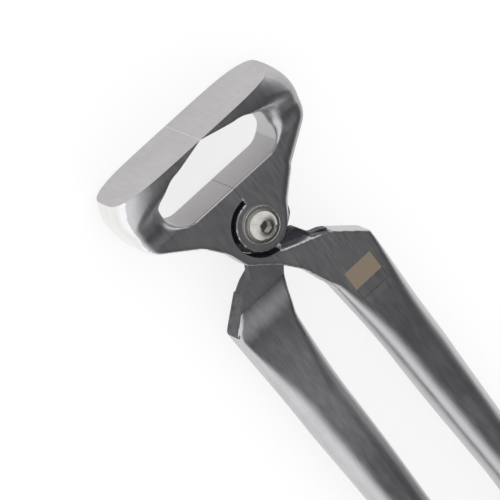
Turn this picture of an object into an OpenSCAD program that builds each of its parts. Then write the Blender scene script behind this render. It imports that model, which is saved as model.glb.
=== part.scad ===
// Farrier's hoof nippers: two identical forged halves, lapped at the pivot
// and turned half a turn about the tool's own axis (Y) from each other.
// X is across the tool, Y runs towards the jaws, Z is the pivot's axis.

/* [Jaws] */
// Distance from the pivot to the ground face across both blades
tip_y = 52; // [50:0.5:54]
// Half width of the closed jaws, before their outer corners are rounded
jaw_half_w = 51.2; // [51:0.1:51.5]
// Half height of the blades along the pivot's axis
blade_half_h = 20.6; // [18:0.1:23]
// Distance from the pivot to the inner wall of the hub
eye_low_y = 22; // [21:0.1:23]
// Half width of the eye between the jaws
eye_half_w = 31.5; // [30:0.1:33]
// Half of the gap left between the two cutting edges
edge_gap = 0.08; // [0.05:0.01:0.15]

/* [Hub] */
// Half thickness of the hub
hub_half_h = 12.5; // [11:0.1:14]
// Radius of the round boss on the end of each jaw plate
boss_r = 12.2; // [12:0.05:12.4]
// Radius of the recess that the other half's boss turns in
recess_r = 14.6; // [14.3:0.1:15]
// Half of the gap between the two lapped faces
lap_gap = 0.1; // [0.05:0.01:0.2]

/* [Handles] */
// Distance from the pivot to the end of the handles
handle_end_y = 303; // [250:1:330]
// Half thickness of a handle at its grip
grip_half_h = 10.5; // [9:0.1:12]

/* [Pivot] */
// Outer radius of the sleeve nut's barrel, which both halves turn on
sleeve_r = 5; // [4.9:0.05:5.2]
// Radial clearance of the barrel in the bores
sleeve_fit = 0.05; // [0.02:0.01:0.1]
// Radius of the screw's threaded shank
shank_r = 3.95; // [3.9:0.01:4]
// Radius of both washers
washer_r = 8.95; // [8.5:0.05:9.5]
// Thickness of both washers
washer_t = 1.2; // [0.8:0.1:2]
// Radius of the domed heads
head_r = 7.2; // [7:0.1:7.5]
// Height of the domed heads
head_h = 4.2; // [3.8:0.1:4.4]
// Width across the flats of the hexagon sockets
socket_af = 5; // [4:0.5:6]

/* [Hidden] */
$fn = 96;

steel = [0.62, 0.62, 0.63];
dark_steel = [0.45, 0.45, 0.46];
stainless = [0.72, 0.71, 0.66];
far = 60;                          // reach of a cutting block past the part
clamp_gap = 0.1;                   // play between a washer and the hub's face
washer_z = hub_half_h + clamp_gap; // inner face of each washer
head_z = washer_z + washer_t;      // seat of each domed head
socket_depth = 2.6;
flange_t = 0.9;                    // rim under each dome
band_root_x = 20;                  // below these the band stands in for the jaw
band_root_y = 9;
shank_end_z = 2 - hub_half_h;      // lower end of the screw, inside the sleeve
weld = 0.5;                        // overlap of two shapes that are one piece
cut_past = 1;                      // how far a cutter runs past the face it cuts
web_top_z = 5.5;                   // top of the notch's thin floor
bow_power = 4.5;                   // squareness of the bow's section, 2 being an ellipse
ramp_y0 = -31;                     // the rear of a handle leaves the lap plane here
ramp_y1 = -39;                     // and has dropped by ramp_z here
ramp_z = 4.5;
grip_y = -120;                     // the handle has its grip thickness from here on
flare_y0 = 24;                     // the hub's flat ends here
flare_y1 = 50;                     // and the blade has its full height here

// Corner i of a closed path of [x, y, radius] corners, as an arc
function unit(v) = v / norm(v);
function corner(p, i) =
    let (n = len(p),
         c = [p[i][0], p[i][1]],
         a = unit([p[(i + n - 1) % n][0], p[(i + n - 1) % n][1]] - c),
         b = unit([p[(i + 1) % n][0], p[(i + 1) % n][1]] - c),
         half = acos(max(-1, min(1, a * b))) / 2,
         r = p[i][2])
    r == 0 ? [c] :
    let (centre = c + unit(a + b) * r / sin(half),
         from = c + a * r / tan(half),
         a0 = atan2(from[1] - centre[1], from[0] - centre[0]),
         turn = (a[0] * b[1] - a[1] * b[0] > 0 ? -1 : 1) * (180 - 2 * half),
         steps = max(3, ceil(abs(turn) / 9)))
    [for (k = [0:steps]) centre + r * [cos(a0 + turn * k / steps), sin(a0 + turn * k / steps)]];
function rounded(p) = [for (i = [0:len(p) - 1]) each corner(p, i)];

// Height of the jaw above the lap plane: the hub's flat, then a flare up to the blade
function flare(y) =
    let (u = max(0, min(1, (y - flare_y0) / (flare_y1 - flare_y0))))
    hub_half_h + (blade_half_h - hub_half_h) * (1 - cos(180 * u)) / 2;
flare_ys = [for (k = [0:12]) flare_y0 - 2 + k * (tip_y - flare_y0 + 2) / 12];

// Left jaw seen along the pivot: its outer bow, and the eye it closes
jaw_outline = rounded([
    [0, tip_y, 0], [-edge_gap, eye_low_y + 2, 0], [-edge_gap, 13, 0], [-10, -4, 0],
    [-17.5, 0, 3], [-27, 9.5, 30], [-47.6, 24.2, 14], [-jaw_half_w, 41, 13], [-47.4, tip_y, 1.5]]);
eye_outline = rounded([
    [0.5, tip_y, 0], [-edge_gap, tip_y, 0], [-25, 46.8, 6], [-eye_half_w, 41, 8],
    [-eye_half_w, eye_low_y, 9.5], [0.5, eye_low_y, 0]]);

// Band that carries the left jaw under the boss and out to the right handle
band_outline = rounded([
    [-edge_gap, eye_low_y, 0], [-edge_gap, 19.5, 0], [-7.5, 12.5, 0], [-4.4, -13.9, 0], [23, -25.2, 0],
    [34, -35, 0], [20, -42, 0], [9, -41.5, 0], [4.5, -30, 10], [-4, -20, 10], [-16.5, -9.8, 5],
    [-19.8, 0, 10], [-27, 9.8, 30], [-40, 20, 0], [-32, eye_low_y + 4, 0], [-28, eye_low_y, 0]]);

// Right handle seen along the pivot, from its shoulder to its rounded end
handle_outline = rounded([
    [23, -25.2, 0], [37.4, -37.4, 5], [37.4, -100, 60], [35, -180, 60], [34, -handle_end_y, 9],
    [13, -handle_end_y, 9], [14.8, -170, 60], [12.2, -90, 60], [9.6, -47, 20], [3.5, -29, 0],
    [1.5, -21, 0]]);

module pivot_bore() {
    cylinder(r = sleeve_r + sleeve_fit, h = 4 * hub_half_h, center = true);
}

// A slab with the jaw's side profile: the blade is higher than the hub
module jaw_flare() {
    rotate([90, 0, 90])
        linear_extrude(height = 2 * far, center = true)
            polygon(concat([[-far, -hub_half_h], [-far, hub_half_h]],
                           [for (y = flare_ys) [y, flare(y)]],
                           [for (k = [len(flare_ys) - 1:-1:0]) [flare_ys[k], -flare(flare_ys[k])]]));
}

// The bow's rounded height towards its outer side
module bow_round() {
    rotate([-90, 0, 0])
        linear_extrude(height = 2 * far, center = true)
            polygon([for (a = [0:6:354])
                [jaw_half_w * sign(cos(a)) * pow(abs(cos(a)), 2 / bow_power),
                 blade_half_h * sign(sin(a)) * pow(abs(sin(a)), 2 / bow_power)]]);
}

// The bow and blade at full height, with the eye and the recess cut out
module jaw() {
    intersection() {
        difference() {
            linear_extrude(height = 2 * blade_half_h, center = true) polygon(jaw_outline);
            linear_extrude(height = 4 * blade_half_h, center = true) polygon(eye_outline);
            // the front layer belongs to the other half's boss
            cylinder(r = recess_r, h = 2 * far);
            translate([-band_root_x, -band_root_x, 0])
                cube([2 * band_root_x, band_root_x + band_root_y, far]);
        }
        jaw_flare();
        bow_round();
    }
}

// Front layer that runs round the recess, its lapped face at lap_gap
module band() {
    difference() {
        translate([0, 0, lap_gap])
            linear_extrude(height = hub_half_h - lap_gap) polygon(band_outline);
        cylinder(r = recess_r, h = 4 * hub_half_h, center = true);
    }
}

// Thin floor of the notch that the other half's plate swings down to
web_outline = [[-4.4, -13.9], [6.4, -13.1], [10.6, -12.8], [13.6, -13.2], [15.4, -16.5],
               [17.6, -20.6], [23, -25.2], [10, -26]];
module web() {
    difference() {
        translate([0, 0, lap_gap])
            linear_extrude(height = web_top_z - lap_gap) polygon(web_outline);
        cylinder(r = recess_r, h = 4 * hub_half_h, center = true);
    }
}

// Rear plate of the jaw, with the round boss on its end
module boss() {
    translate([0, 0, -hub_half_h])
        linear_extrude(height = hub_half_h - lap_gap)
            union() {
                circle(r = boss_r);
                polygon([[-edge_gap, eye_low_y], [-edge_gap, 13], [-1, 11.5], [0, 0], [-8, -9.2],
                         [-12.6, -6], [-17.5, 0], [-27, 9.5], [-30, eye_low_y]]);
            }
}

// The handle's outline, cut by its side profile: flat in front, with a ramp at the rear
module handle() {
    intersection() {
        linear_extrude(height = 4 * hub_half_h, center = true) polygon(handle_outline);
        rotate([90, 0, 90])
            linear_extrude(height = 2 * far, center = true)
                polygon([[0, hub_half_h], [grip_y / 2, hub_half_h], [grip_y, grip_half_h],
                         [-handle_end_y, grip_half_h], [-handle_end_y, -grip_half_h],
                         [grip_y, -grip_half_h], [ramp_y1, -ramp_z], [ramp_y0, lap_gap],
                         [0, lap_gap]]);
    }
}

module nipper_half() {
    difference() {
        union() {
            jaw();
            band();
            web();
            boss();
            handle();
        }
        pivot_bore();
    }
}

module left_jaw_half() { color(steel) nipper_half(); }

module right_jaw_half() { color(dark_steel) rotate([0, 180, 0]) nipper_half(); }

// A domed head with a rim, drilled for a hexagon key, its seat at z = 0
module domed_head() {
    dome_h = head_h - flange_t;
    ball_r = (head_r * head_r + dome_h * dome_h) / (2 * dome_h);
    difference() {
        union() {
            cylinder(r = head_r, h = flange_t);
            translate([0, 0, flange_t])
                intersection() {
                    translate([0, 0, dome_h - ball_r]) sphere(r = ball_r);
                    cylinder(r = head_r, h = dome_h + cut_past);
                }
        }
        translate([0, 0, head_h - socket_depth])
            cylinder(r = socket_af / sqrt(3), h = socket_depth + cut_past, $fn = 6);
    }
}

module pivot_screw() {
    color(stainless) union() {
        translate([0, 0, head_z]) domed_head();
        translate([0, 0, shank_end_z]) cylinder(r = shank_r, h = head_z - shank_end_z + weld);
    }
}

module pivot_sleeve() {
    color(stainless) difference() {
        union() {
            rotate([180, 0, 0]) translate([0, 0, head_z]) domed_head();
            translate([0, 0, -head_z - weld]) cylinder(r = sleeve_r, h = head_z + weld + washer_z);
        }
        translate([0, 0, shank_end_z - cut_past])
            cylinder(r = shank_r + sleeve_fit, h = 4 * hub_half_h);
    }
}

module washer(bore_r) {
    difference() {
        cylinder(r = washer_r, h = washer_t);
        translate([0, 0, -cut_past]) cylinder(r = bore_r, h = washer_t + 2 * cut_past);
    }
}

module front_washer() {
    color(stainless) translate([0, 0, washer_z]) washer(shank_r + sleeve_fit);
}

module rear_washer() {
    color(stainless) translate([0, 0, -washer_z - washer_t]) washer(sleeve_r + sleeve_fit);
}

left_jaw_half();
right_jaw_half();
pivot_screw();
pivot_sleeve();
front_washer();
rear_washer();
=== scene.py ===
import math

import bmesh
import bpy
import numpy as np
from mathutils import Matrix, Vector


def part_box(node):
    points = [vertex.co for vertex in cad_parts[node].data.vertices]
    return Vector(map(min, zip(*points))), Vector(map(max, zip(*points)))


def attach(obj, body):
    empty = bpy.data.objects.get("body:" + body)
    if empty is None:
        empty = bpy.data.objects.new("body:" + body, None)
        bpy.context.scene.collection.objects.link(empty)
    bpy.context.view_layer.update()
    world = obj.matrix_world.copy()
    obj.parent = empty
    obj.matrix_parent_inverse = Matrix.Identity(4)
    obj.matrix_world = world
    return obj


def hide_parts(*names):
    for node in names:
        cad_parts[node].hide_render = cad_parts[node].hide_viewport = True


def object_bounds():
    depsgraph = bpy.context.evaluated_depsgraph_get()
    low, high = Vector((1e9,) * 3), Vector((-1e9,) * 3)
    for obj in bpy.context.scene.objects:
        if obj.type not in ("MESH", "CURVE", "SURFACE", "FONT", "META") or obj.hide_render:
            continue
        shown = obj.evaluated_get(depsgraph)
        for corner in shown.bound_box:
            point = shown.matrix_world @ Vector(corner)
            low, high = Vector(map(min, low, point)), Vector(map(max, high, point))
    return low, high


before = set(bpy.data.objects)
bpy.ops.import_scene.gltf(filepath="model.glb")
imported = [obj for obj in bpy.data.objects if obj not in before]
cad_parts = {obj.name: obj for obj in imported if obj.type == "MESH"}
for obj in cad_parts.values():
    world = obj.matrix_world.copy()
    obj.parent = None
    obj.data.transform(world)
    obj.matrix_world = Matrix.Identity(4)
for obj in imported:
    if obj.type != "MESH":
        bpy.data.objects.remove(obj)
cad_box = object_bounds()
MM = 0.001

# ---------------------------------------------------------------- stage
# A pale floor under the tool, and a long lens above the jaws, with the handles running off the frame.
# The overhead is dark and the rim of the sky bright, as in a light tent with its top closed.
floor_z = cad_box[0][2]
half_floor = 6.0
floor_mesh = bpy.data.meshes.new("floor")
corners = [(-1, -1), (1, -1), (1, 1), (-1, 1)]
floor_mesh.from_pydata([(x * half_floor, y * half_floor, floor_z) for x, y in corners], [], [(0, 1, 2, 3)])
floor = bpy.data.objects.new("floor", floor_mesh)
bpy.context.collection.objects.link(floor)
floor_paint = bpy.data.materials.new("floor_paint")
floor_paint.use_nodes = True
paint = floor_paint.node_tree.nodes["Principled BSDF"]
paint.inputs["Base Color"].default_value = (0.3, 0.3, 0.3, 1)
paint.inputs["Emission Color"].default_value = (1, 1, 1, 1)
paint.inputs["Emission Strength"].default_value = 0.72
paint.inputs["Roughness"].default_value = 0.9
paint.inputs["Specular IOR Level"].default_value = 0.1
floor_mesh.materials.append(floor_paint)

look_from = Vector((-0.1868, 0.3775, 0.907)).normalized()
screen_right = Vector((0.7244, -0.5707, 0.3867))
screen_right = (screen_right - look_from * screen_right.dot(look_from)).normalized()
screen_up = look_from.cross(screen_right)
frame_width = 0.2193
camera_away = 2.5
aim = screen_right * -0.0003 - screen_up * 0.013
camera_data = bpy.data.cameras.new("camera")
camera_data.sensor_width = 36
camera_data.lens = camera_data.sensor_width * camera_away / frame_width
camera_data.clip_end = 20
camera = bpy.data.objects.new("camera", camera_data)
bpy.context.collection.objects.link(camera)
turn = Matrix((screen_right, screen_up, look_from)).transposed().to_4x4()
camera.matrix_world = Matrix.Translation(aim + look_from * camera_away) @ turn
bpy.context.scene.camera = camera

overhead = Vector((0.36, -0.62, 0.70)).normalized()
world = bpy.data.worlds.new("tent")
bpy.context.scene.world = world
world.use_nodes = True
sky = world.node_tree
sky.nodes.clear()
sky_out = sky.nodes.new("ShaderNodeOutputWorld")
tent_light = sky.nodes.new("ShaderNodeBackground")
tent_light.inputs["Color"].default_value = (1, 1, 1, 1)
tent_light.inputs["Strength"].default_value = 1.02
tent_mirror = sky.nodes.new("ShaderNodeBackground")
choose = sky.nodes.new("ShaderNodeMixShader")
rays = sky.nodes.new("ShaderNodeLightPath")
way = sky.nodes.new("ShaderNodeTexCoord")
towards = sky.nodes.new("ShaderNodeVectorMath")
towards.operation = "DOT_PRODUCT"
towards.inputs[1].default_value = overhead
tent_ramp = sky.nodes.new("ShaderNodeValToRGB")
tent_ramp.color_ramp.interpolation = "EASE"
tent_ramp.color_ramp.elements[0].position = 0.35
tent_ramp.color_ramp.elements[0].color = (1.15, 1.15, 1.18, 1)
tent_ramp.color_ramp.elements[1].position = 0.9
tent_ramp.color_ramp.elements[1].color = (0.05, 0.049, 0.053, 1)
sky.links.new(way.outputs["Generated"], towards.inputs[0])
sky.links.new(towards.outputs["Value"], tent_ramp.inputs["Fac"])
sky.links.new(tent_ramp.outputs["Color"], tent_mirror.inputs["Color"])
sky.links.new(rays.outputs["Is Glossy Ray"], choose.inputs["Fac"])
sky.links.new(tent_light.outputs[0], choose.inputs[1])
sky.links.new(tent_mirror.outputs[0], choose.inputs[2])
sky.links.new(choose.outputs[0], sky_out.inputs["Surface"])
bpy.context.scene.view_settings.view_transform = "Standard"

# ---------------------------------------------------------------- forged halves
# Each half is one drop forging in tool steel, from blade to handle end. The flash is ground off, the
# blades, eye and lapped faces are ground and one bow polished; that bow's brighter colour is painted sheen.
# The second is the first turned half over.

# sizes in millimetres from the pivot, for the half with the left jaw and the right handle
half_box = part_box("left_jaw_half")
tip_y = half_box[1][1] / MM
blade_half_h = half_box[1][2] / MM
handle_end_y = half_box[0][1] / MM
bow_half_w = 51.0
hub_half_h = 12.5
eye_low_y = 22.0
eye_half_w = 31.5
boss_r = 12.2
recess_r = 14.6
bore_r = 5.05
edge_gap = 0.08            # half of the gap between the two cutting edges
bevel_low_y = 47.2         # where the blade meets the roof of the eye
lap_gap = 0.1
grip_half_h = 10.5
web_top_z = 5.5            # top of the notch's thin floor
ramp_z = 2.3               # how far the neck's ramp drops at the rear
stock = 0.6                # metal left past the lap plane, for machining


def rounded(corner_list):
    """A closed outline from [x, y, radius] corners."""
    points = []
    count = len(corner_list)
    for i, (x, y, r) in enumerate(corner_list):
        here = np.array((x, y), float)
        if r == 0:
            points.append(here)
            continue
        back = np.array(corner_list[i - 1][:2], float) - here
        ahead = np.array(corner_list[(i + 1) % count][:2], float) - here
        back /= np.linalg.norm(back)
        ahead /= np.linalg.norm(ahead)
        half = math.acos(max(-1, min(1, back @ ahead))) / 2
        middle = back + ahead
        centre = here + middle / np.linalg.norm(middle) * r / math.sin(half)
        start = here + back * r / math.tan(half) - centre
        sense = -1 if back[0] * ahead[1] - back[1] * ahead[0] > 0 else 1
        sweep = sense * (math.pi - 2 * half)
        steps = max(4, math.ceil(abs(sweep) / 0.08))
        for k in range(steps + 1):
            a = sweep * k / steps
            points.append(centre + np.array((start[0] * math.cos(a) - start[1] * math.sin(a),
                                             start[0] * math.sin(a) + start[1] * math.cos(a))))
    return np.array(points)


def outline_distance(outline, gx, gy):
    """Distance of each place to a closed outline, negative inside it."""
    nearest = np.full(gx.shape, 1e9)
    inside = np.zeros(gx.shape, bool)
    for (ax, ay), (bx, by) in zip(outline, np.roll(outline, -1, axis=0)):
        dx, dy = bx - ax, by - ay
        length2 = dx * dx + dy * dy
        if length2 < 1e-12:
            continue
        t = np.clip(((gx - ax) * dx + (gy - ay) * dy) / length2, 0, 1)
        nearest = np.minimum(nearest, (gx - ax - t * dx) ** 2 + (gy - ay - t * dy) ** 2)
        crossing = (ay > gy) != (by > gy)
        side = gx < (bx - ax) * (gy - ay) / (by - ay if by != ay else 1e-9) + ax
        inside ^= crossing & side
    return np.where(inside, -1, 1) * np.sqrt(nearest)


def both(a, b, soft):
    """The part inside a and b, with its edge rounded over the soft width."""
    u = np.maximum(soft + a, 0)
    v = np.maximum(soft + b, 0)
    return np.minimum(-soft, np.maximum(a, b)) + np.sqrt(u * u + v * v)


def either(a, b, soft):
    """The part inside a or b, with a fillet of the soft width."""
    return -both(-a, -b, soft)


def smooth_step(a, b, y):
    u = np.clip((y - a) / (b - a), 0, 1)
    return u * u * (3 - 2 * u)


# the grid that the forging is formed on, finer round the jaws and hub than along the handle
fine = 0.55
coarse = 1.5
neck_y = -54
xs = np.arange(-52.5, 40, fine)
zs = np.arange(-21.7, 21.8, fine)
ys_fine = np.arange(neck_y, 54.5, fine)
ys_handle = np.arange(handle_end_y - 3, neck_y, coarse)
ys = np.concatenate([ys_handle, ys_fine])
X, Y = np.meshgrid(xs, ys, indexing="ij")

# outlines seen along the pivot, each corner as x, y and radius
jaw_2d = outline_distance(rounded([
    (12, tip_y + 6, 0), (12, 13.5, 0), (-0.5, 11.8, 0), (-6, 4, 0), (-10, -4, 0), (-17.5, 0, 3),
    (-27, 9.5, 30), (-47.6, 24.2, 14), (-bow_half_w - 0.3, 41, 26), (-46.2, tip_y + 6, 0)]), X, Y)
eye_2d = outline_distance(rounded([
    (12, tip_y - 2, 0), (-edge_gap, tip_y - 2, 0), (-22, bevel_low_y - 0.35, 16),
    (-eye_half_w, 40, 9), (-eye_half_w, eye_low_y, 9.5), (12, eye_low_y, 0)]), X, Y)
band_2d = outline_distance(rounded([
    (0, 23.5, 0), (-27, 23.5, 3), (-39, 20.5, 0), (-27, 9.8, 30), (-19.8, 0, 10), (-16.5, -9.8, 5),
    (-4, -20, 10), (4.5, -30, 10), (9.4, -42, 0), (20, -48, 0), (36, -37, 0), (23, -25.2, 0),
    (0, -15, 0)]), X, Y)
plate_2d = outline_distance(rounded([
    (0, eye_low_y + 2, 0), (0, 0, 0), (-8, -9.2, 0), (-12.6, -6, 3), (-17.5, 0, 8), (-27, 9.5, 0),
    (-34, 20, 0), (-30, 26, 0)]), X, Y)
handle_2d = outline_distance(rounded([
    (21, -23.7, 0), (37.4, -37.4, 6), (37.4, -100, 60), (35, -180, 60), (34, handle_end_y, 9.5),
    (13, handle_end_y, 9.5), (14.8, -170, 60), (12.2, -90, 60), (9.6, -47, 20), (3.5, -29, 6),
    (-4, -17, 0)]), X, Y)
web_2d = outline_distance(rounded([
    (-4.4, -13.9, 0), (6.4, -13.5, 0), (10.2, -13.4, 0), (12.7, -14, 2), (14.5, -17.2, 3),
    (16.7, -21.2, 3), (22, -25.6, 0), (10, -27, 0)]), X, Y)
web_2d = both(web_2d, recess_r + 0.1 - np.hypot(X, Y), 0.4)
boss_2d = np.hypot(X, Y) - boss_r
Z = zs[None, None, :]


def along_y(values):
    """One value for each place along Y, shaped to meet the whole grid."""
    return np.reshape(values, (1, -1, 1))


def slab(low, high):
    """The layer between two heights, each a number or one value for each place along Y."""
    low, high = along_y(low), along_y(high)
    return np.abs(Z - (low + high) / 2) - (high - low) / 2


# the jaw: flat at the hub, flaring up to the blade, with a bow that is square-shouldered but round
flare = hub_half_h + (blade_half_h - hub_half_h) * smooth_step(24.5, 49.5, ys)
flare = flare - 1.4 * (smooth_step(24, 32, ys) - smooth_step(36, 46, ys))
bow_narrowing = 4.2 * np.clip((ys - 40) / (tip_y - 40), 0, 1) ** 2
bow_across = np.abs(xs[:, None]) / (bow_half_w + 0.3 - bow_narrowing)[None, :]
bow_up = np.abs(Z) / (blade_half_h + 0.2)
bow_power = 3.6
bow_size = (bow_across[:, :, None] ** bow_power + bow_up ** bow_power) ** (1 / bow_power)
rear_roll = 5.5
edge_roll = np.where(Z < 0, rear_roll, along_y(1.4 + 4.6 * smooth_step(20, 34, ys)))
jaw_solid = both(jaw_2d[:, :, None], np.abs(Z) - along_y(flare), edge_roll)
jaw_solid = both(jaw_solid, (bow_size - 1) * blade_half_h, 1.2)

# the rear plate with its boss, and the thin floor of the notch in front
plate_roll = 0.6 + 3.4 * smooth_step(7, 17, -X)[:, :, None]
plate_solid = both(either(plate_2d, boss_2d, 0.8)[:, :, None], slab(-hub_half_h, stock), plate_roll)
web_solid = both(web_2d[:, :, None], slab(-stock, web_top_z), 0.5)

# the handle, whose rear ramps down from the lap plane, and the band that joins it to the jaw
ramp = smooth_step(-29.5, -43, ys)
rear_face = -stock - (ramp_z - stock) * ramp - (grip_half_h - ramp_z) * smooth_step(-40, -130, ys)
rear_face = np.where(ys > -30, -stock, rear_face)
front_face = hub_half_h - (hub_half_h - grip_half_h) * smooth_step(-60, -130, ys)
handle_roll = along_y(0.7 + 7.8 * smooth_step(-30, -85, ys))
handle_solid = both(handle_2d[:, :, None], slab(rear_face, front_face), handle_roll)
band_solid = both(either(band_2d, handle_2d, 3.0)[:, :, None], slab(-stock, front_face), handle_roll)

forging = np.minimum(np.minimum(jaw_solid, plate_solid), np.minimum(band_solid, web_solid))
forging = np.minimum(forging, handle_solid)
# the eye, its rim rolled over at both ends and crisp at the hub wall and blade
eye_roll = 6.5 * smooth_step(22, 34, np.abs(X)) * smooth_step(21.5, 34, Y)
eye_roll = 0.5 + eye_roll * (1 - 0.8 * smooth_step(37, 46, Y))
forging = both(forging, -eye_2d[:, :, None], eye_roll[:, :, None]).astype(np.float32)


def skin_of(field, ax, ay, az):
    """A closed mesh of quads round the part of the grid where the field is negative."""
    solid = field < 0
    shape = np.array(field.shape) - 1
    shifts = [(i, j, k) for i in (0, 1) for j in (0, 1) for k in (0, 1)]
    count = sum(solid[i:i + shape[0], j:j + shape[1], k:k + shape[2]].astype(np.int8) for i, j, k in shifts)
    cells = np.argwhere((count > 0) & (count < 8))
    total = np.zeros((len(cells), 3))
    hits = np.zeros(len(cells))
    for i, j, k in shifts:
        for axis in range(3):
            if (i, j, k)[axis] == 1:
                continue
            a = cells + (i, j, k)
            b = a.copy()
            b[:, axis] += 1
            va = field[a[:, 0], a[:, 1], a[:, 2]]
            vb = field[b[:, 0], b[:, 1], b[:, 2]]
            crossed = (va < 0) != (vb < 0)
            t = np.where(crossed, va / np.where(crossed, va - vb, 1), 0)
            place = a.astype(float)
            place[:, axis] += t
            total[crossed] += place[crossed]
            hits[crossed] += 1
    places = total / hits[:, None]
    verts = np.stack([np.interp(places[:, n], np.arange(len(line)), line)
                      for n, line in enumerate((ax, ay, az))], 1)
    index = np.full(tuple(shape), -1, np.int64)
    index[tuple(cells.T)] = np.arange(len(cells))
    quads = []
    for axis in range(3):
        u, v = [n for n in range(3) if n != axis]
        low = [slice(1, -1)] * 3
        low[axis] = slice(0, -1)
        high = list(low)
        high[axis] = slice(1, None)
        change = solid[tuple(low)].astype(np.int8) - solid[tuple(high)].astype(np.int8)
        for sign in (1, -1):
            edges = np.argwhere(change == sign)
            edges[:, u] += 1
            edges[:, v] += 1
            ring = []
            for du, dv in ((-1, -1), (0, -1), (0, 0), (-1, 0)):
                cell = edges.copy()
                cell[:, u] += du
                cell[:, v] += dv
                ring.append(index[tuple(cell.T)])
            outward = sign if axis != 1 else -sign
            quads.append(np.stack(ring if outward > 0 else ring[::-1], 1))
    return verts, np.concatenate(quads)


def new_mesh(name, verts, faces):
    data = bpy.data.meshes.new(name)
    data.from_pydata([tuple(p) for p in verts], [], [tuple(int(i) for i in f) for f in faces])
    data.validate()
    piece = bpy.data.objects.new(name, data)
    bpy.context.collection.objects.link(piece)
    return piece


def block(outline, z0, z1):
    """A prism over an outline, used to machine the forging."""
    n = len(outline)
    verts = [(x * MM, y * MM, z * MM) for z in (z0, z1) for x, y in outline]
    faces = [tuple(range(n))[::-1], tuple(range(n, 2 * n))]
    faces += [(i, (i + 1) % n, n + (i + 1) % n, n + i) for i in range(n)]
    piece = new_mesh("cutter", verts, faces)
    shape = bmesh.new()
    shape.from_mesh(piece.data)
    bmesh.ops.recalc_face_normals(shape, faces=shape.faces)
    shape.to_mesh(piece.data)
    shape.free()
    return piece


def circle(r, a0=0.0, a1=360.0, steps=96):
    angles = np.radians(np.linspace(a0, a1, steps + (a1 - a0 < 360), endpoint=(a1 - a0 < 360)))
    return [(r * math.cos(a), r * math.sin(a)) for a in angles]


def machine(piece, cutter):
    """Cuts one cutter away from the piece for good."""
    cut = piece.modifiers.new("cut", "BOOLEAN")
    cut.operation = "DIFFERENCE"
    cut.solver = "EXACT"
    cut.object = cutter
    bpy.context.view_layer.update()
    depsgraph = bpy.context.evaluated_depsgraph_get()
    data = bpy.data.meshes.new_from_object(piece.evaluated_get(depsgraph))
    piece.modifiers.clear()
    old = piece.data
    piece.data = data
    bpy.data.meshes.remove(old)
    bpy.data.objects.remove(cutter)


verts, quads = skin_of(forging, xs, ys, zs)
left_half = new_mesh("left_half_steel", verts * MM, quads)

# the ground face across the blades, then the split down to the eye and on to the recess
side = 70
reach = 40
over_y = tip_y + 20
split_y = 12.1
machine(left_half, block([(-side, tip_y), (side, tip_y), (side, over_y), (-side, over_y)], -reach, reach))
machine(left_half, block([(-edge_gap, split_y), (side, split_y), (side, over_y), (-edge_gap, over_y)],
                         -reach, reach))
# the cutting edge's inner bevel, ground up to a knife edge
machine(left_half, block([(1, tip_y + 0.2), (-18, bevel_low_y + 0.2), (-17, 45.5), (1, 43)], -reach, reach))
# the front recess that the other half's boss turns in, and the notch its plate swings down to
notch_tip = (22.6, -25.1)
wall_angle = 287
recess = circle(recess_r, 92, wall_angle, 100)
recess += [notch_tip, (42, -14), (42, 30), (-edge_gap, 30), (-edge_gap, recess_r)]
machine(left_half, block(recess, web_top_z, reach))
machine(left_half, block(circle(recess_r - 0.02), -lap_gap / 2, reach))
# the rear lap face below the hub, and the bore
lap_edge = circle(recess_r - 0.1, 199, 352, 60)
lap_edge += [(40, -2), (40, -29.9), (-30, -29.9), (-30, 2), (-19.6, 2), (-17.9, -0.3)]
machine(left_half, block(lap_edge, -reach, lap_gap))
machine(left_half, block(circle(bore_r), -reach, reach))
left_half.data.set_sharp_from_angle(angle=math.radians(32))


def tree_of(name):
    """A new material, and its node tree and Principled shader."""
    material = bpy.data.materials.new(name)
    material.use_nodes = True
    return material, material.node_tree, material.node_tree.nodes["Principled BSDF"]


def streaks_group():
    """Grinding streaks: noise drawn out along one way, with fine and broad marks mixed."""
    group = bpy.data.node_groups.new("grinding_streaks", "ShaderNodeTree")
    sockets = group.interface
    sockets.new_socket(name="Squeeze", in_out="INPUT", socket_type="NodeSocketVector")
    sockets.new_socket(name="Density", in_out="INPUT", socket_type="NodeSocketFloat")
    sockets.new_socket(name="Shade", in_out="OUTPUT", socket_type="NodeSocketFloat")
    sockets.new_socket(name="Height", in_out="OUTPUT", socket_type="NodeSocketFloat")
    into = group.nodes.new("NodeGroupInput")
    out = group.nodes.new("NodeGroupOutput")
    place = group.nodes.new("ShaderNodeTexCoord")
    squeeze = group.nodes.new("ShaderNodeVectorMath")
    squeeze.operation = "MULTIPLY"
    group.links.new(place.outputs["Object"], squeeze.inputs[0])
    group.links.new(into.outputs["Squeeze"], squeeze.inputs[1])
    marks = group.nodes.new("ShaderNodeTexNoise")
    marks.inputs["Detail"].default_value = 4
    marks.inputs["Roughness"].default_value = 0.65
    group.links.new(squeeze.outputs[0], marks.inputs["Vector"])
    group.links.new(into.outputs["Density"], marks.inputs["Scale"])
    broad = group.nodes.new("ShaderNodeTexNoise")
    broad.inputs["Scale"].default_value = 55
    broad.inputs["Detail"].default_value = 2
    group.links.new(place.outputs["Object"], broad.inputs["Vector"])
    mix = group.nodes.new("ShaderNodeMix")
    mix.inputs[0].default_value = 0.35
    group.links.new(marks.outputs[0], mix.inputs[2])
    group.links.new(broad.outputs[0], mix.inputs[3])
    group.links.new(mix.outputs[0], out.inputs["Shade"])
    group.links.new(marks.outputs[0], out.inputs["Height"])
    return group


streaks = streaks_group()


def ramp_node(tree, source, low, high, a, b):
    """Maps a 0 to 1 mark on to two colours or greys."""
    ramp = tree.nodes.new("ShaderNodeValToRGB")
    ramp.color_ramp.elements[0].position = low
    ramp.color_ramp.elements[1].position = high
    ramp.color_ramp.elements[0].color = (*a, 1)
    ramp.color_ramp.elements[1].color = (*b, 1)
    tree.links.new(source, ramp.inputs["Fac"])
    return ramp.outputs["Color"]


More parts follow.
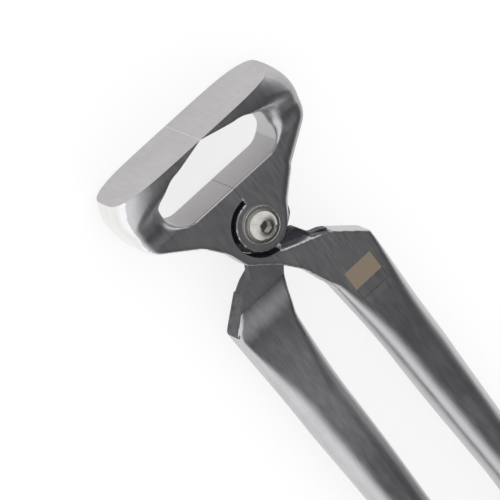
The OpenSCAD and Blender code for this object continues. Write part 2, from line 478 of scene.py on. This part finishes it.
def ground_steel(name, squeeze, density, dark, light, rough_low, rough_high, bump_size):
    """Bare steel that a wheel or belt has ground one way."""
    material, tree, shader = tree_of(name)
    marks = tree.nodes.new("ShaderNodeGroup")
    marks.node_tree = streaks
    marks.inputs["Squeeze"].default_value = squeeze
    marks.inputs["Density"].default_value = density
    shader.inputs["Metallic"].default_value = 1
    shade = marks.outputs["Shade"]
    greys = ((rough_low,) * 3, (rough_high,) * 3)
    tree.links.new(ramp_node(tree, shade, 0.3, 0.7, dark, light), shader.inputs["Base Color"])
    tree.links.new(ramp_node(tree, shade, 0.25, 0.75, *greys), shader.inputs["Roughness"])
    bump = tree.nodes.new("ShaderNodeBump")
    bump.inputs["Strength"].default_value = 0.5
    bump.inputs["Distance"].default_value = bump_size
    tree.links.new(marks.outputs["Height"], bump.inputs["Height"])
    tree.links.new(bump.outputs["Normal"], shader.inputs["Normal"])
    return material


face_steel = ground_steel("face_steel", squeeze=(1, 0.12, 1), density=900, dark=(0.48, 0.475, 0.485),
                          light=(0.6, 0.59, 0.6), rough_low=0.29, rough_high=0.42, bump_size=0.000025)
blade_steel = ground_steel("blade_steel", squeeze=(1, 1, 0.15), density=700, dark=(0.46, 0.445, 0.45),
                           light=(0.56, 0.545, 0.55), rough_low=0.42, rough_high=0.55, bump_size=0.00003)
# the left half's outer bow: low roughness for its polish, and a base colour brighter than the other half's
# bow, which is painted sheen
bow_steel_painted_sheen = ground_steel("bow_steel_painted_sheen", squeeze=(0.4, 0.4, 1), density=260, dark=(0.74, 0.735, 0.72),
                         light=(0.88, 0.875, 0.86), rough_low=0.16, rough_high=0.28, bump_size=0.00004)
# the groove round the boss and the notch's wall and floor are the same ground steel as the faces; this
# near-black colour is painted shade for those hollows
recess_painted_shade = ground_steel("recess_painted_shade", squeeze=(1, 1, 1), density=900, dark=(0.05, 0.05, 0.06),
                            light=(0.12, 0.12, 0.14), rough_low=0.4, rough_high=0.6, bump_size=0.00003)
forged_skin = ground_steel("forged_skin", squeeze=(1, 1, 1), density=500, dark=(0.04, 0.04, 0.045),
                           light=(0.2, 0.2, 0.21), rough_low=0.45, rough_high=0.65, bump_size=0.00008)
for material in (face_steel, blade_steel, bow_steel_painted_sheen, recess_painted_shade, forged_skin):
    left_half.data.materials.append(material)
FACE, BLADE, BOW_PAINTED_SHEEN, RECESS_PAINTED_SHADE, SKIN = range(5)
wall_from = Vector((*circle(recess_r, wall_angle, wall_angle, 1)[0], 0))
along_wall = (Vector((*notch_tip, 0)) - wall_from).normalized()
notch_way = Vector((-along_wall.y, along_wall.x, 0))
notch_off = notch_way.dot(wall_from)


def in_recess(x, y, z):
    """Whether a spot is in the groove round the boss, or on the notch's wall or floor."""
    in_groove = math.hypot(x, y) < recess_r + 0.3
    on_wall = abs(x * notch_way.x + y * notch_way.y - notch_off) < 0.5 and 3 < x < 24
    on_floor = z < web_top_z + 0.3 and 3 < x < 24 and -27 < y < -11
    return lap_gap - 0.15 < z < hub_half_h - 0.5 and (in_groove or on_wall or on_floor)


def finish_of(x, y, z, n, painted_sheen_half):
    """Which finish a spot on a half has, from its place and the way it faces."""
    on_tip = y > tip_y - 0.05 and n.y > 0.9
    on_hub_wall = n.y > 0.7 and abs(x) < 31 and eye_low_y - 1 < y < eye_low_y + 6
    if on_tip or on_hub_wall:
        return BLADE
    # spots in the groove and on the notch's wall and floor get the near-black painted shade
    if n.z > -0.5 and in_recess(x, y, z):
        return RECESS_PAINTED_SHADE
    on_neck_side = x > 12 and -38 < y < -12 and abs(n.z) < 0.6 and n.y > -0.1
    if on_neck_side and not painted_sheen_half:
        return SKIN
    outside = x < -20 and y > 8 and abs(n.z) < 0.78 and (n.x < -0.2 or n.y < -0.3)
    in_eye = y > 22 and x > -36
    # the left half's outer bow takes the painted sheen, the right half's the plain ground blade steel
    if outside and not in_eye:
        return BOW_PAINTED_SHEEN if painted_sheen_half else BLADE
    return FACE


def lay_finishes(piece, painted_sheen_half, turned):
    """Gives every face its finish. A turned half is looked up in the first half's own place."""
    way = -1 if turned else 1
    for face in piece.data.polygons:
        x, y, z = face.center / MM
        n = Vector((face.normal.x * way, face.normal.y, face.normal.z * way))
        face.material_index = finish_of(x * way, y, z * way, n, painted_sheen_half)


lay_finishes(left_half, True, False)
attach(left_half, "left_jaw_body")
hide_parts("left_jaw_half")
right_half = left_half.copy()
right_half.data = left_half.data.copy()
right_half.name = "right_half_steel"
bpy.context.collection.objects.link(right_half)
right_half.data.transform(Matrix.Rotation(math.pi, 4, "Y"))
lay_finishes(right_half, False, True)
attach(right_half, "right_jaw_body")
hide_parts("right_jaw_half")

# ---------------------------------------------------------------- marking patch
# A plain tan patch on the right handle, with an empty thin frame under it, where a maker would mark the
# tool. It is printed on the ground face and only a few hundredths of a millimetre thick.
patch_z = hub_half_h + 0.03
patch_corners = (15.7, -53.4), (31, -43.8)
frame_low_y = -59
line_w = 0.22


def flat_tile(name, spans):
    """Thin rectangles on the front face, as one mesh."""
    verts = []
    faces = []
    for x0, y0, x1, y1 in spans:
        n = len(verts)
        verts += [(x * MM, y * MM, z * MM) for z in (hub_half_h - 0.02, patch_z)
                  for x, y in ((x0, y0), (x1, y0), (x1, y1), (x0, y1))]
        faces += [(n + 3, n + 2, n + 1, n), (n + 4, n + 5, n + 6, n + 7)]
        faces += [(n + i, n + (i + 1) % 4, n + 4 + (i + 1) % 4, n + 4 + i) for i in range(4)]
    return new_mesh(name, verts, faces)


def printed(name, shade, rough):
    """A plain printed ink."""
    material, tree, shader = tree_of(name)
    shader.inputs["Base Color"].default_value = (*shade, 1)
    shader.inputs["Roughness"].default_value = rough
    return material


(patch_x0, patch_y0), (patch_x1, patch_y1) = patch_corners
patch = flat_tile("marking_patch", [(patch_x0, patch_y0, patch_x1, patch_y1)])
patch.data.materials.append(printed("tan_print", (0.22, 0.17, 0.12), 0.5))
patch_frame = flat_tile("marking_frame", [
    (patch_x0, frame_low_y, patch_x0 + line_w, patch_y0),
    (patch_x1 - line_w, frame_low_y, patch_x1, patch_y0),
    (patch_x0 + line_w, frame_low_y, patch_x1 - line_w, frame_low_y + line_w)])
patch_frame.data.materials.append(printed("dark_print", (0.03, 0.03, 0.032), 0.6))
for piece in (patch, patch_frame):
    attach(piece, "left_jaw_body")

# ---------------------------------------------------------------- pivot screw
# A stainless button-head screw, turned from bar, with a forged hexagon socket. It is screwed into the
# sleeve nut from the front and clamps the front washer on the end of the sleeve.
washer_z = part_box("front_washer")[0][2] / MM
head_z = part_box("front_washer")[1][2] / MM
head_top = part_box("pivot_screw")[1][2] / MM
head_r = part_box("pivot_screw")[1][0] / MM
shank_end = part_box("pivot_screw")[0][2] / MM
shank_r = 3.95


def lathe(name, profile, steps=128):
    """Turns a profile of (radius, height) corners about the pivot's axis."""
    verts = []
    faces = []
    rings = []
    for r, z in profile:
        if r < 1e-6:
            rings.append([len(verts)] * steps)
            verts.append((0, 0, z * MM))
            continue
        rings.append(list(range(len(verts), len(verts) + steps)))
        verts += [(x * MM, y * MM, z * MM) for x, y in circle(r, steps=steps)]
    pairs = list(zip(rings, rings[1:] + ([rings[0]] if profile[0][0] > 1e-6 else [])))
    for low, high in pairs:
        for k in range(steps):
            m = (k + 1) % steps
            corners = []
            for i in (low[k], low[m], high[m], high[k]):
                if i not in corners:
                    corners.append(i)
            if len(corners) > 2:
                faces.append(corners)
    piece = new_mesh(name, verts, faces)
    shape = bmesh.new()
    shape.from_mesh(piece.data)
    bmesh.ops.recalc_face_normals(shape, faces=shape.faces)
    shape.to_mesh(piece.data)
    shape.free()
    piece.data.polygons.foreach_set("use_smooth", [True] * len(piece.data.polygons))
    return piece


def dome(seat, top, r):
    """A domed head's profile, from its seat's edge up to the middle."""
    rim = seat + 0.9
    edge = 0.35
    side = [(r - 0.25, seat), (r, seat + 0.25), (r, rim - edge), (r - 0.1, rim - 0.1), (r - edge, rim)]
    high = top - rim
    ball = ((r - 0.6) ** 2 + high ** 2) / (2 * high)
    arc = [(r - 0.6) * (1 - k / 16) for k in range(16)]
    return side + [(q, top - ball + math.sqrt(ball * ball - q * q)) for q in arc]


key_r = 5 / math.sqrt(3)
socket_end = head_top - 2.6
key_turn = 12              # how far round the hexagon happens to be, in degrees


def socket(piece):
    """A hexagon socket, with its mouth broken by a small countersink."""
    cut_hexagon = circle(key_r, key_turn, key_turn + 360, 6)
    machine(piece, block(cut_hexagon, socket_end, head_top + 5))
    mouth = lathe("cutter", [(0, head_top - 0.3), (key_r - 0.3, head_top - 0.3),
                             (key_r + 0.35, head_top + 0.35), (0, head_top + 0.35)], 96)
    machine(piece, mouth)
    piece.data.set_sharp_from_angle(angle=math.radians(24))


screw_profile = [(0, shank_end), (shank_r - 0.5, shank_end), (shank_r, shank_end + 0.5)]
pitch = 1.25
root_r = shank_r - 0.6
turns = int((-2 - shank_end - 0.5) / pitch)
for k in range(turns):
    z = shank_end + 0.5 + k * pitch
    screw_profile += [(shank_r, z + 0.1), (root_r, z + 0.55), (root_r, z + 0.7), (shank_r, z + 1.15)]
screw_profile += [(shank_r, head_z), *dome(head_z, head_top, head_r), (0, head_top)]
screw = lathe("screw_steel", screw_profile)
socket(screw)
stainless = ground_steel("turned_stainless", (1, 1, 1), 420, (0.4, 0.39, 0.36), (0.6, 0.59, 0.54),
                         0.16, 0.3, 0.00001)
screw.data.materials.append(stainless)
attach(screw, "left_jaw_body")
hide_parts("pivot_screw")

# ---------------------------------------------------------------- sleeve nut
# The barrel that both halves turn on, with a domed head at the rear. It is turned from the same bar,
# reamed and tapped, and a press in the rear boss keeps it from spinning.
sleeve_r = 5.0
sleeve = lathe("sleeve_steel", [
    *[(r, z) for r, z in dome(head_z, head_top, head_r)], (0, head_top), (0, -shank_end + 1),
    (shank_r + 0.05, -shank_end + 1), (shank_r + 0.05, -washer_z + 0.4), (shank_r + 0.4, -washer_z),
    (sleeve_r - 0.3, -washer_z), (sleeve_r, -washer_z + 0.3), (sleeve_r, head_z)][::-1])
socket(sleeve)
sleeve.data.transform(Matrix.Rotation(math.pi, 4, "Y"))
sleeve.data.materials.append(stainless)
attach(sleeve, "left_jaw_body")
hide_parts("pivot_sleeve")

# ---------------------------------------------------------------- washers
# Two plain washers, punched from stainless strip and tumbled, so their faces are dull and speckled
# and the edge is rounded. One sits under each domed head.
washer_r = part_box("front_washer")[1][0] / MM
washer_steel = ground_steel("washer_steel", (1, 1, 1), 1500, (0.3, 0.3, 0.26), (0.66, 0.65, 0.6),
                            0.28, 0.5, 0.00006)
for name, node, hole_r, turn_over in (("front_washer_steel", "front_washer", shank_r + 0.05, False),
                                      ("rear_washer_steel", "rear_washer", sleeve_r + 0.05, True)):
    washer = lathe(name, [
        (hole_r, washer_z), (washer_r - 0.3, washer_z), (washer_r, washer_z + 0.3),
        (washer_r, head_z - 0.35), (washer_r - 0.12, head_z - 0.1), (washer_r - 0.4, head_z),
        (washer_r - 0.75, head_z - 0.03), (washer_r - 0.95, head_z - 0.22), (head_r - 0.5, head_z - 0.22),
        (head_r - 0.8, head_z), (hole_r, head_z)])
    if turn_over:
        washer.data.transform(Matrix.Rotation(math.pi, 4, "Y"))
    washer.data.set_sharp_from_angle(angle=math.radians(40))
    washer.data.materials.append(washer_steel)
    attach(washer, "left_jaw_body")
    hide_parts(node)
